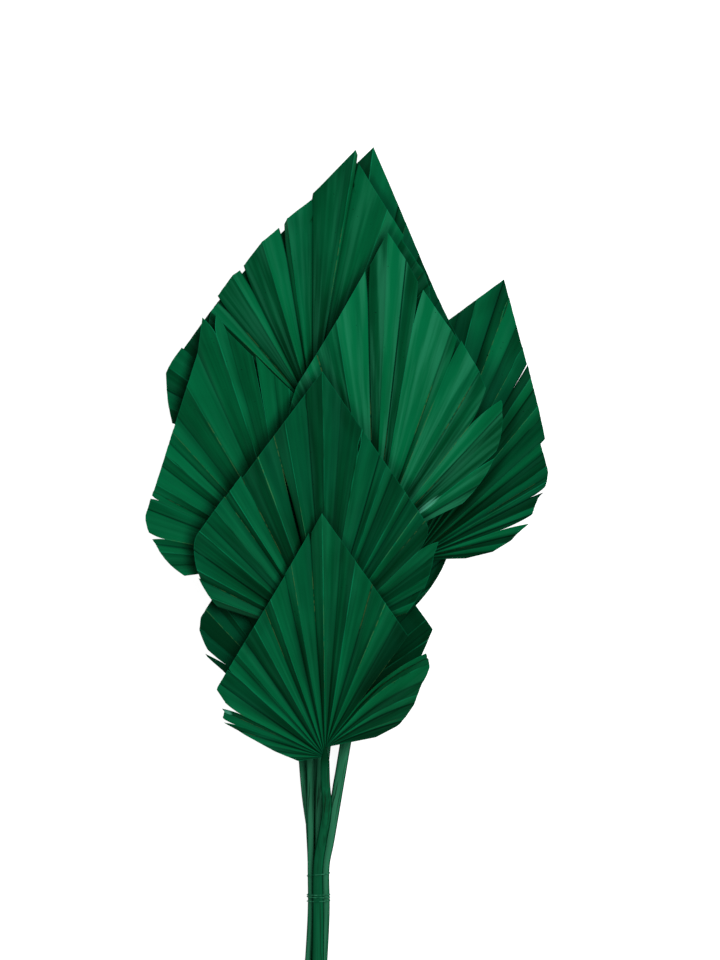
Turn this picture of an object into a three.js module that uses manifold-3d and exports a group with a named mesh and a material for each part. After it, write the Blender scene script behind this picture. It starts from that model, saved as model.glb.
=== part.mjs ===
// A tied bunch of palm spears: nine dyed and dried fan-palm leaves, each trimmed to a point,
// with their stalks bound by a thin elastic. The bunch lies on its back on the plane z = 0,
// tips towards +Y and leaf fronts up. Lengths are in millimetres and angles in degrees.
import * as THREE from 'three';
import Module from 'manifold-3d';

const wasm = await Module();
wasm.setup();

// Blades: pleated fans cut from one sheet.
const BLADE_THICKNESS = 1.0;
const FOLD_SPACING = 5.2;
const FOLD_CROWDING = 0.92;
const FOLD_JITTER = 0.36;
const ROOT_RADIUS = 1.2;
const RING_SHARES = [0, 0.13, 0.42, 0.74, 0.92, 1];
const PLEAT_SLOPE_ROOT = 0.85;
const PLEAT_SLOPE_EDGE = 0.32;
const PLEAT_FADE = 1.5;
const CORNER_ROUNDING = 1.4;
const LIFT_START = 0.45;

// Small tears at the trimmed edge, along the folds.
const TEAR_CHANCE = 0.3;
const TEAR_RING = 4;
const TEAR_GAP = [0.5, 1.1];
const SEGMENT_LENGTHS = [0.985, 1.015];

// Stalks, measured along Y from the tie.
const STALK_SIDES = 8;
const STALK_RINGS = 20;
const STALK_FLATTENING = 0.88;
const STALK_END_Y = -89;
const BOUND_FROM_Y = -12;
const BOUND_TO_Y = 15;
const STALK_STRAIGHT_RUN = 14;
const STALK_INTO_BLADE = 4;
const STALK_TIP_SHARE = 0.6;

// The elastic: three close turns, and one that slants across the front over them.
const ELASTIC_DIAMETER = 1.0;
const ELASTIC_CLEARANCE = 0.3;
const ELASTIC_SIDES = 6;
const ELASTIC_TURNS = 4;
const ELASTIC_STEPS_PER_TURN = 20;
const ELASTIC_START_Y = -4.6;
const ELASTIC_PITCH = 1.75;
const ELASTIC_HIGH_Y = 11;
const ELASTIC_CROSSING_LIFT = 1.5;
const ELASTIC_PHASE = 142;
const SLANT_CLIMBS_UNTIL = 0.4;
const SLANT_FALLS_FROM = 0.6;
const CROSSING_FROM = 0.62;
const CROSSING_RUN = 0.12;
const LANDING_FROM = 0.97;
const LANDING_RUN = 0.1;

// Colours and surface of the dyed leaves and the elastic.
const LEAF_GREEN = 0x034c2c;
const SHADED_GREEN = 0x02381f;
const PALE_GREEN = 0x0f6240;
const ELASTIC_GREEN = 0x3a5a48;
const LEAF_ROUGHNESS = 0.5;
const ELASTIC_ROUGHNESS = 0.4;

// One entry for each spear, back to front.
// base: where the blade leaves the stalk. lean: turn to the right. tilt: rise towards the tip.
// Each side of a blade has: cut, the angle at the tip between the axis and the trimmed edge; corner,
// where the trimmed edge ends and the round lobe begins; end, the last fold of the lobe; endRadius, its
// length; lift, how far the lobe stands forward. split is one deep tear, with the lobe beyond it raised.
// stalk: radius at the cut end and at the blade, then x and z at the cut end and at the tie, then the
// points it passes on its way to the blade.
const SPEARS = [
  {
    name: 'spear_back', seed: 9, colour: SHADED_GREEN,
    base: [9.4, 129, 2.8], length: 160, lean: 3, tilt: 0, roll: 0,
    left: { cut: 34, corner: 40, end: 56, endRadius: 50, lift: -1.2 },
    right: { cut: 34, corner: 40, end: 55, endRadius: 47, lift: -1.2 },
    stalk: { radii: [1.9, 1.8], end: [-4.3, 1.9], tie: [0, 3.9], via: [[2, 50, 3.6]] },
  },
  {
    name: 'spear_right', seed: 8, colour: SHADED_GREEN,
    base: [51.7, 184, 10.6], length: 161.5, lean: 18.2, tilt: 0, roll: 0,
    left: { cut: 37.8, corner: 40, end: 52, endRadius: 66, lift: 0 },
    right: { cut: 31.5, corner: 36, end: 69, endRadius: 36, lift: 10,
      split: { angle: 53, ring: 3, gap: 3, raise: 4 } },
    stalk: { radii: [1.9, 1.8], end: [0, 1.9], tie: [4.05, 3.9], via: [[7.4, 42, 4.6], [13.2, 75, 5.8]] },
  },
  {
    name: 'spear_top_behind', seed: 7, colour: LEAF_GREEN,
    base: [3.9, 231.5, 14.6], length: 181, lean: 8.4, tilt: 2.5, roll: 0,
    left: { cut: 33.8, corner: 67, end: 80, endRadius: 82, lift: 0 },
    right: { cut: 33.1, corner: 44, end: 62, endRadius: 71, lift: 0 },
    stalk: { radii: [1.9, 1.8], end: [-8.6, 1.9], tie: [-4.05, 3.9],
      via: [[-4.2, 55, 5], [-3, 120, 7.8]] },
  },
  {
    name: 'spear_top', seed: 6, colour: LEAF_GREEN,
    base: [-3.3, 267, 22.2], length: 144, lean: 9.5, tilt: 3.2, roll: 0,
    left: { cut: 33.7, corner: 54, end: 70, endRadius: 60, lift: 0 },
    right: { cut: 41, corner: 27, end: 55, endRadius: 60, lift: 0 },
    stalk: { radii: [1.9, 1.8], end: [-2.3, 5.45], tie: [2.03, 7.4],
      via: [[1.5, 70, 9.8], [-1, 160, 14.6]] },
  },
  {
    name: 'spear_left', seed: 5, colour: LEAF_GREEN,
    base: [-14.3, 182, 22.7], length: 143.5, lean: -18.3, tilt: 3.5, roll: 0,
    left: { cut: 36, corner: 53.5, end: 78, endRadius: 59, lift: 6 },
    right: { cut: 28.6, corner: 19, end: 48, endRadius: 41, lift: 0,
      split: { angle: 0, ring: 4, gap: 3.4, raise: 0 } },
    stalk: { radii: [1.9, 1.8], end: [-6.5, 5.45], tie: [-2.03, 7.4],
      via: [[-7.6, 58, 10.6], [-10.5, 110, 15.2]] },
  },
  {
    name: 'spear_upper_right', seed: 4, colour: PALE_GREEN,
    base: [30.8, 191, 26.8], length: 176, lean: 2.5, tilt: 3.8, roll: -1.5,
    left: { cut: 28.6, corner: 40, end: 55, endRadius: 55, lift: 0 },
    right: { cut: 35.1, corner: 32.4, end: 61, endRadius: 55, lift: 12,
      split: { angle: 33.5, ring: 3, gap: 1.6, raise: 4 } },
    stalk: { radii: [1.95, 2.3], end: [0, 9.1], tie: [4.3, 11],
      via: [[9.2, 45, 13.8], [13.8, 72, 16], [22, 125, 20]] },
  },
  {
    name: 'spear_low_behind', seed: 3, colour: SHADED_GREEN,
    base: [-4.4, 96.3, 24.4], length: 147.5, lean: -0.6, tilt: 5, roll: 0,
    left: { cut: 33, corner: 47.5, end: 66, endRadius: 47, lift: 0 },
    right: { cut: 35, corner: 53.5, end: 70, endRadius: 49, lift: 0 },
    stalk: { radii: [1.9, 1.8], end: [-9.2, 9], tie: [-4.05, 10.9], via: [[-4.2, 52, 15.4]] },
  },
  {
    name: 'spear_middle', seed: 2, colour: LEAF_GREEN,
    base: [3.9, 140, 37.2], length: 149.5, lean: -0.6, tilt: 3.4, roll: 0,
    left: { cut: 37.5, corner: 50, end: 72, endRadius: 61, lift: 3 },
    right: { cut: 34, corner: 44, end: 72, endRadius: 48, lift: 3,
      split: { angle: 47, ring: 4, gap: 3, raise: 0 } },
    stalk: { radii: [1.9, 1.8], end: [-4.4, 9], tie: [0, 10.9], via: [[1, 60, 17.8]] },
  },
  {
    name: 'spear_front', seed: 1, colour: LEAF_GREEN,
    base: [3.9, 76, 36.5], length: 133.5, lean: -0.7, tilt: 6.5, roll: 0,
    left: { cut: 32, corner: 57, end: 92, endRadius: 18, lift: 12 },
    right: { cut: 34.5, corner: 45, end: 69, endRadius: 40, lift: 12,
      split: { angle: 41, ring: 2, gap: 3.5, raise: 14 } },
    stalk: { radii: [3.8, 2.3], end: [-0.5, 15], tie: [0, 16.2], via: [] },
  },
];

const UPWARDS = new THREE.Vector3(0, 0, 1);
const radians = THREE.MathUtils.degToRad;

// Repeatable draws between 0 and 1, by a linear congruence.
const DRAW_STEP = 1664525;
const DRAW_SHIFT = 1013904223;
const DRAW_RANGE = 2 ** 32;
const SEED_SPREAD = 7919;

function makeRandom(seed) {
  let state = seed * SEED_SPREAD;
  return () => {
    state = (state * DRAW_STEP + DRAW_SHIFT) % DRAW_RANGE;
    return state / DRAW_RANGE;
  };
}

function between(range, share) {
  return range[0] + (range[1] - range[0]) * share;
}

function smooth(value) {
  return THREE.MathUtils.smoothstep(value, 0, 1);
}

// Length of a fold from the base to the blade's outline: a straight trimmed edge, then the lobe.
function outlineRadius(side, length, angle) {
  const trimmed = (a) => (length * Math.sin(radians(side.cut))) / Math.sin(radians(side.cut + a));
  if (angle <= side.corner) {
    return trimmed(angle);
  }
  const share = (angle - side.corner) / (side.end - side.corner);
  const cornerRadius = trimmed(side.corner);
  return cornerRadius + (side.endRadius - cornerRadius) * share ** CORNER_ROUNDING;
}

// The folds of one side, outwards from the axis: ridges and valleys in turn, some of them torn.
function sideFolds(side, random) {
  const count = Math.round(side.end / FOLD_SPACING);
  const folds = [];
  for (let i = 0; i <= count; i += 1) {
    const inner = i > 0 && i < count;
    const jitter = inner ? (random() - 0.5) * FOLD_JITTER : 0;
    const angle = side.end * (i === 0 ? 0 : ((i + jitter) / count) ** FOLD_CROWDING);
    const fold = { angle, rise: i % 2 === 0 ? 1 : -1, tear: null };
    const torn = random() < TEAR_CHANCE;
    const gap = between(TEAR_GAP, random());
    if (torn && inner && i % 2 === 1) {
      fold.tear = { ring: TEAR_RING, gap };
    }
    folds.push(fold);
  }
  if (side.split) {
    const offset = (fold) => Math.abs(fold.angle - side.split.angle);
    const nearest = folds.reduce((best, fold) => (offset(fold) < offset(best) ? fold : best));
    nearest.angle = side.split.angle;
    nearest.tear = side.split;
  }
  return folds;
}

// All folds of a blade from left to right, with signed angles, spacing and segment lengths.
function bladeFolds(spear) {
  const random = makeRandom(spear.seed);
  const left = sideFolds(spear.left, random);
  const right = sideFolds(spear.right, random);
  const signed = (folds, side, sign) =>
    folds.map((fold) => ({ ...fold, side, radius: outlineRadius(side, spear.length, fold.angle),
      angle: fold.angle * sign }));
  const folds = [
    ...signed(left.slice(1), spear.left, -1).reverse(),
    ...signed(right, spear.right, 1),
  ];
  let segmentLength = between(SEGMENT_LENGTHS, random());
  folds.forEach((fold, k) => {
    const before = folds[Math.max(k - 1, 0)].angle;
    const after = folds[Math.min(k + 1, folds.length - 1)].angle;
    fold.spacing = (after - before) / 2;
    fold.lengthBefore = segmentLength;
    if (fold.tear) {
      segmentLength = between(SEGMENT_LENGTHS, random());
    }
    fold.lengthAfter = segmentLength;
  });
  return folds;
}

// Height of the blade's middle surface above its own plane.
function bladeHeight(side, angle, radius, fold, share) {
  const away = Math.abs(angle);
  const lifted = smooth((away / side.end - LIFT_START) / (1 - LIFT_START));
  const lobe = radius * Math.tan(radians(side.lift)) * lifted;
  const slope = PLEAT_SLOPE_EDGE + (PLEAT_SLOPE_ROOT - PLEAT_SLOPE_EDGE) * (1 - share) ** PLEAT_FADE;
  const pleat = 0.5 * fold.rise * slope * radius * radians(fold.spacing);
  let raised = 0;
  if (side.split && away > side.split.angle) {
    const hinge = RING_SHARES[side.split.ring] * fold.radius;
    raised = Math.max(0, radius - hinge) * Math.tan(radians(side.split.raise));
  }
  return lobe + pleat + raised;
}

// Middle surface of a blade: points in the layout frame and triangles that face forward.
function bladeSurface(spear) {
  const folds = bladeFolds(spear);
  const [baseX, baseY, baseZ] = spear.base;
  const lean = radians(spear.lean);
  const points = [];
  const known = new Map();
  // towards is -1 on the left-hand copy of a torn fold, 1 on the right-hand copy.
  const pointAt = (k, ring, towards) => {
    const fold = folds[k];
    const torn = fold.tear !== null && ring > fold.tear.ring;
    const key = `${k} ${ring} ${torn ? towards : 0}`;
    if (known.has(key)) {
      return known.get(key);
    }
    const share = RING_SHARES[ring];
    const length = towards < 0 ? fold.lengthBefore : fold.lengthAfter;
    const reach = torn ? fold.radius * length : fold.radius * Math.max(fold.lengthBefore, fold.lengthAfter);
    const radius = ROOT_RADIUS + (reach - ROOT_RADIUS) * share;
    let angle = fold.angle;
    if (torn) {
      const tearShare = RING_SHARES[fold.tear.ring];
      angle += (towards * fold.tear.gap * (share - tearShare)) / (1 - tearShare) / 2;
    }
    const along = radius * Math.cos(radians(angle));
    const across = radius * Math.sin(radians(angle));
    const height = bladeHeight(fold.side, angle, radius, fold, share);
    points.push(new THREE.Vector3(
      baseX + along * Math.sin(lean) + across * Math.cos(lean),
      baseY + along * Math.cos(lean) - across * Math.sin(lean),
      baseZ + along * Math.tan(radians(spear.tilt)) + across * Math.tan(radians(spear.roll)) + height,
    ));
    known.set(key, points.length - 1);
    return points.length - 1;
  };
  const triangles = [];
  for (let k = 0; k + 1 < folds.length; k += 1) {
    for (let ring = 0; ring + 1 < RING_SHARES.length; ring += 1) {
      const nearLeft = pointAt(k, ring, 1);
      const farLeft = pointAt(k, ring + 1, 1);
      const nearRight = pointAt(k + 1, ring, -1);
      const farRight = pointAt(k + 1, ring + 1, -1);
      triangles.push([nearLeft, nearRight, farRight], [nearLeft, farRight, farLeft]);
    }
  }
  return { points, triangles };
}

// Closed sheet of even height round a surface, with walls along its open edges.
function thicken({ points, triangles }, thickness) {
  const half = new THREE.Vector3(0, 0, thickness / 2);
  const front = points.map((point) => point.clone().add(half));
  const back = points.map((point) => point.clone().sub(half));
  const toBack = (index) => index + points.length;
  const faces = [];
  const edges = new Map();
  for (const [a, b, c] of triangles) {
    faces.push([a, b, c], [toBack(a), toBack(c), toBack(b)]);
    for (const [from, to] of [[a, b], [b, c], [c, a]]) {
      edges.set(`${from} ${to}`, [from, to]);
    }
  }
  for (const [from, to] of edges.values()) {
    if (!edges.has(`${to} ${from}`)) {
      faces.push([from, toBack(from), toBack(to)], [from, toBack(to), to]);
    }
  }
  return makeGeometry([...front, ...back], faces);
}

function makeGeometry(points, faces) {
  const geometry = new THREE.BufferGeometry().setFromPoints(points);
  geometry.setIndex(faces.flat());
  return geometry;
}

// Tube through rings of points, closed on itself or with flat ends.
function loft(rings, closed) {
  const sides = rings[0].length;
  const faces = [];
  const last = closed ? rings.length : rings.length - 1;
  for (let i = 0; i < last; i += 1) {
    const here = i * sides;
    const there = ((i + 1) % rings.length) * sides;
    for (let j = 0; j < sides; j += 1) {
      const next = (j + 1) % sides;
      faces.push([here + j, here + next, there + next], [here + j, there + next, there + j]);
    }
  }
  if (!closed) {
    const end = (rings.length - 1) * sides;
    for (let j = 1; j + 1 < sides; j += 1) {
      faces.push([0, j + 1, j], [end, end + j, end + j + 1]);
    }
  }
  return makeGeometry(rings.flat(), faces);
}

// Centre line of a stalk: cut end, bound stretch, the way to the blade, and a run into it.
function stalkCurve(spear) {
  const { end, tie, via } = spear.stalk;
  const base = new THREE.Vector3(...spear.base);
  const lean = radians(spear.lean);
  const axis = new THREE.Vector3(Math.sin(lean), Math.cos(lean), Math.tan(radians(spear.tilt)));
  return new THREE.CatmullRomCurve3([
    new THREE.Vector3(end[0], STALK_END_Y, end[1]),
    new THREE.Vector3(tie[0], BOUND_FROM_Y, tie[1]),
    new THREE.Vector3(tie[0], BOUND_TO_Y, tie[1]),
    ...via.map((point) => new THREE.Vector3(...point)),
    base.clone().addScaledVector(axis, -STALK_STRAIGHT_RUN),
    base.clone().addScaledVector(axis, STALK_INTO_BLADE),
  ]);
}

// Stalks grow evenly thicker, or thinner, from the cut end to the blade.
function stalkRadius(spear, y) {
  return between(spear.stalk.radii, (y - STALK_END_Y) / (spear.base[1] - STALK_END_Y));
}

// Stalk with a slightly flattened front and a blunt tip in the blade.
function stalkGeometry(spear) {
  const curve = stalkCurve(spear);
  const rings = [];
  for (let i = 0; i <= STALK_RINGS; i += 1) {
    const share = i / STALK_RINGS;
    const centre = curve.getPointAt(share);
    const along = curve.getTangentAt(share);
    const side = new THREE.Vector3().crossVectors(along, UPWARDS).normalize();
    const up = new THREE.Vector3().crossVectors(side, along);
    const radius = stalkRadius(spear, centre.y) * (i === STALK_RINGS ? STALK_TIP_SHARE : 1);
    rings.push(sectionRing(centre, side, up, radius, STALK_SIDES, STALK_FLATTENING));
  }
  return loft(rings, false);
}

// Points round a centre, turning from up to side, seen along the tube.
function sectionRing(centre, side, up, radius, sides, flattening) {
  const ring = [];
  for (let j = 0; j < sides; j += 1) {
    const turn = (2 * Math.PI * j) / sides;
    const rise = Math.cos(turn);
    ring.push(centre.clone()
      .addScaledVector(side, radius * Math.sin(turn))
      .addScaledVector(up, radius * rise * (rise > 0 ? flattening : 1)));
  }
  return ring;
}

function toSolid(geometry) {
  return new wasm.Manifold(new wasm.Mesh({
    numProp: 3,
    vertProperties: new Float32Array(geometry.getAttribute('position').array),
    triVerts: new Uint32Array(geometry.getIndex().array),
  }));
}

function fromSolid(solid) {
  const mesh = solid.getMesh();
  const geometry = new THREE.BufferGeometry();
  geometry.setAttribute('position', new THREE.BufferAttribute(mesh.vertProperties, 3));
  geometry.setIndex(new THREE.BufferAttribute(mesh.triVerts, 1));
  geometry.computeVertexNormals();
  return geometry;
}

// A blade grown as one with its stalk.
function spearMesh(spear) {
  const blade = toSolid(thicken(bladeSurface(spear), BLADE_THICKNESS));
  const stalk = toSolid(stalkGeometry(spear));
  const material = new THREE.MeshStandardMaterial({ color: spear.colour, roughness: LEAF_ROUGHNESS });
  const mesh = new THREE.Mesh(fromSolid(blade.add(stalk)), material);
  mesh.name = spear.name;
  return mesh;
}

// Outermost point of the bound stalks in a direction, plus a distance, in the plane of X and Z.
function aroundStalks(direction, distance) {
  const reaches = SPEARS.map((spear) => ({
    centre: new THREE.Vector2(...spear.stalk.tie),
    radius: stalkRadius(spear, 0),
  }));
  const reach = (item) => item.centre.dot(direction) + item.radius;
  const outermost = reaches.reduce((best, item) => (reach(item) > reach(best) ? item : best));
  return outermost.centre.clone().addScaledVector(direction, outermost.radius + distance);
}

// Place of the elastic along Y, and how far it stands off its other turns, at a count of turns.
// The last turn slants: it climbs behind the stalks, falls across the front and closes on the first.
function elasticPlace(turns) {
  const closeTurns = ELASTIC_TURNS - 1;
  const climbed = ELASTIC_START_Y + ELASTIC_PITCH * Math.min(turns, closeTurns);
  const slant = Math.max(turns - closeTurns, 0);
  const rise = (ELASTIC_HIGH_Y - climbed) * smooth(slant / SLANT_CLIMBS_UNTIL);
  const falling = smooth((slant - SLANT_FALLS_FROM) / (1 - SLANT_FALLS_FROM));
  const fall = (ELASTIC_HIGH_Y - ELASTIC_START_Y) * falling;
  const sinceSlant = turns < LANDING_RUN ? turns + 1 : slant;
  const lifted = smooth((sinceSlant - CROSSING_FROM) / CROSSING_RUN);
  const landed = smooth((sinceSlant - LANDING_FROM) / LANDING_RUN);
  return { y: climbed + rise - fall, standOff: ELASTIC_CROSSING_LIFT * lifted * (1 - landed) };
}

function elasticMesh() {
  const steps = ELASTIC_TURNS * ELASTIC_STEPS_PER_TURN;
  const radius = ELASTIC_DIAMETER / 2;
  const points = [];
  for (let i = 0; i < steps; i += 1) {
    const turns = i / ELASTIC_STEPS_PER_TURN;
    const angle = radians(ELASTIC_PHASE) + 2 * Math.PI * turns;
    const place = elasticPlace(turns);
    const direction = new THREE.Vector2(Math.cos(angle), Math.sin(angle));
    const point = aroundStalks(direction, ELASTIC_CLEARANCE + radius + place.standOff);
    points.push({ centre: new THREE.Vector3(point.x, place.y, point.y), direction });
  }
  const rings = points.map(({ centre, direction }, i) => {
    const before = points[(i + steps - 1) % steps].centre;
    const after = points[(i + 1) % steps].centre;
    const along = after.clone().sub(before).normalize();
    const outward = new THREE.Vector3(direction.x, 0, direction.y);
    const side = new THREE.Vector3().crossVectors(along, outward).normalize();
    const up = new THREE.Vector3().crossVectors(side, along);
    return sectionRing(centre, side, up, radius, ELASTIC_SIDES, 1);
  });
  const material = new THREE.MeshStandardMaterial({ color: ELASTIC_GREEN, roughness: ELASTIC_ROUGHNESS });
  const mesh = new THREE.Mesh(fromSolid(toSolid(loft(rings, true))), material);
  mesh.name = 'elastic_tie';
  return mesh;
}

const bunch = new THREE.Group();
SPEARS.forEach((spear) => bunch.add(spearMesh(spear)));
bunch.add(elasticMesh());

// The origin is on the table, under the middle of the bunch.
const bounds = new THREE.Box3().setFromObject(bunch);
const middle = bounds.getCenter(new THREE.Vector3());
bunch.position.set(-middle.x, -middle.y, -bounds.min.z);

export default bunch;
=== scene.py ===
# A tied bunch of palm spears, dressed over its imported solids: nine fan-palm leaves, dried, dyed green
# and trimmed to points, with a thin elastic round their stalks. It lies on its back on a pale table.
import math
from dataclasses import dataclass

import bpy
import numpy as np
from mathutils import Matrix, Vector


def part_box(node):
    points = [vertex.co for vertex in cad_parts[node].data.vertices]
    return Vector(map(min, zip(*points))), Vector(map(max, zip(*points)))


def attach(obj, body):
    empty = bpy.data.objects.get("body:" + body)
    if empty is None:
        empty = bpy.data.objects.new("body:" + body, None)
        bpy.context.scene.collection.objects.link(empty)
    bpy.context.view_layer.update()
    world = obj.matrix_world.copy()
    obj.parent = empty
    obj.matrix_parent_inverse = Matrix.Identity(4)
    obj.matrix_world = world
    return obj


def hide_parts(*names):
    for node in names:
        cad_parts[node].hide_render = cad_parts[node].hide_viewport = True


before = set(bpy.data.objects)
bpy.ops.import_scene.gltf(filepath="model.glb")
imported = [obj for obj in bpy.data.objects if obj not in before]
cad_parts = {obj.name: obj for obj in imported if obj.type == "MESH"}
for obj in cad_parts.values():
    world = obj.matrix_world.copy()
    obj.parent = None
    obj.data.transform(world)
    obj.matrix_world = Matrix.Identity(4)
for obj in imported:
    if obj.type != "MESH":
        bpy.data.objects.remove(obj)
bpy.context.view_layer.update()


# The nine spears. Each is one leaf of a fan palm, a blade folded like a fan that grew as one with its
# stalk, dried flat, dyed through and trimmed with two straight cuts to a point. They lie over each other.
# Sizes are in millimetres from the spot on the table under the tie: x right, y to the tips, z up.
MM = 0.001
TIE_MIDDLE = (0.27, 3.2, 11.36)
tie_low, tie_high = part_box("elastic_tie")
under_tie = (tie_low + tie_high) / 2 - Vector(TIE_MIDDLE) * MM


@dataclass
class Tear:
    """A tear along a fold: its angle from the axis, the share of the fold's length at which it opens,
    how wide it stands, and how far the lobe beyond it turns up. Angles are in degrees. It runs to the
    edge, opening as flare says, or closes again at its end; swing is how far the whole lobe beyond it
    is drawn away at the edge, overlap how far its two sides lie over each other on the way, and beyond
    the share of its length that the next strip keeps, after which the strips grow back to the trimmed
    edge, swelling on the way; paler is how much lighter the lobe beyond it is painted, a painted
    highlight on the raised lobe that is strongest at the tear and fades away from it."""
    angle: float
    start: float
    gap: float
    turned_up: float = 0
    end: float = None
    flare: float = 1.5
    swing: float = 0
    overlap: float = 0
    beyond: float = 1
    swell: float = 0
    paler: float = 0

    def run(self, share):
        """How far along the tear a point at a share of the fold's length is, from 0 to 1."""
        end = 1 if self.end is None else self.end
        return np.clip((share - self.start) / (end - self.start), 0, 1)

    def opening(self, share):
        """How far each side of the tear stands from the fold at a share of its length."""
        run = self.run(share)
        width = run**self.flare if self.end is None else np.sin(np.pi * run)
        return (self.gap * width - self.overlap * np.sin(np.pi * run)) / 2


@dataclass
class Side:
    """One side of a blade: cut, the angle at the tip between the axis and the trimmed edge; corner, where
    the trimmed edge ends and the round lobe begins; end, the last fold of the lobe; end_length, its
    length; lift, how far the lobe stands forward; split, its one deep tear; slits, its finer ones;
    bulge, how far the trimmed edge swells; rounding, how full the lobe is, or lobe, the angle and the
    length at each corner of a lobe that is cut straight; higher_root, how much higher up the stalk its
    folds begin; light_strips, the angles and the tones of strips that stand out."""
    cut: float
    corner: float
    end: float
    end_length: float
    lift: float = 0
    split: Tear = None
    slits: tuple = ()
    bulge: float = 0
    rounding: float = 1.4
    higher_root: float = 0
    lobe: tuple = ()
    light_strips: tuple = ()


@dataclass
class Stalk:
    """Radius at the cut end and at the blade, then x and z at the cut end and at the tie, then the
    points that it passes on its way to the blade, how much thicker it grows above the tie, from where
    to where up the bunch its front is cracked, and how grey its skin is worn and painted lighter on top."""
    radii: tuple
    cut_end: tuple
    tie: tuple
    via: tuple = ()
    swell: float = 0
    cracked: tuple = None
    grey: float = 0.75


@dataclass
class Spear:
    """base is where the blade leaves the stalk, lean its turn to the right, tilt its rise to the tip,
    roll its rise to the right; tone is how light it is, partly how its dye took and, for the spears that
    lie deep under the others, painted shade; milk how much pale milky layer and painted sheen lies on it,
    crease how dark the painted shade in its valleys is, contrast how much its strips differ in random
    tone and in painted light; fold_spacing is the angle from fold to fold; axis_valley says that its
    axis is a deep valley, not a ridge; pale_patch is the angle and distance from the root of a bare
    spot, then how far it spreads both ways."""
    name: str
    seed: int
    base: tuple
    length: float
    lean: float
    tilt: float
    left: Side
    right: Side
    stalk: Stalk
    roll: float = 0
    tone: float = 0
    milk: float = 0.12
    crease: float = 1
    contrast: float = 1
    fold_spacing: float = 4.8
    axis_valley: bool = False
    pale_patch: tuple = None


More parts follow.
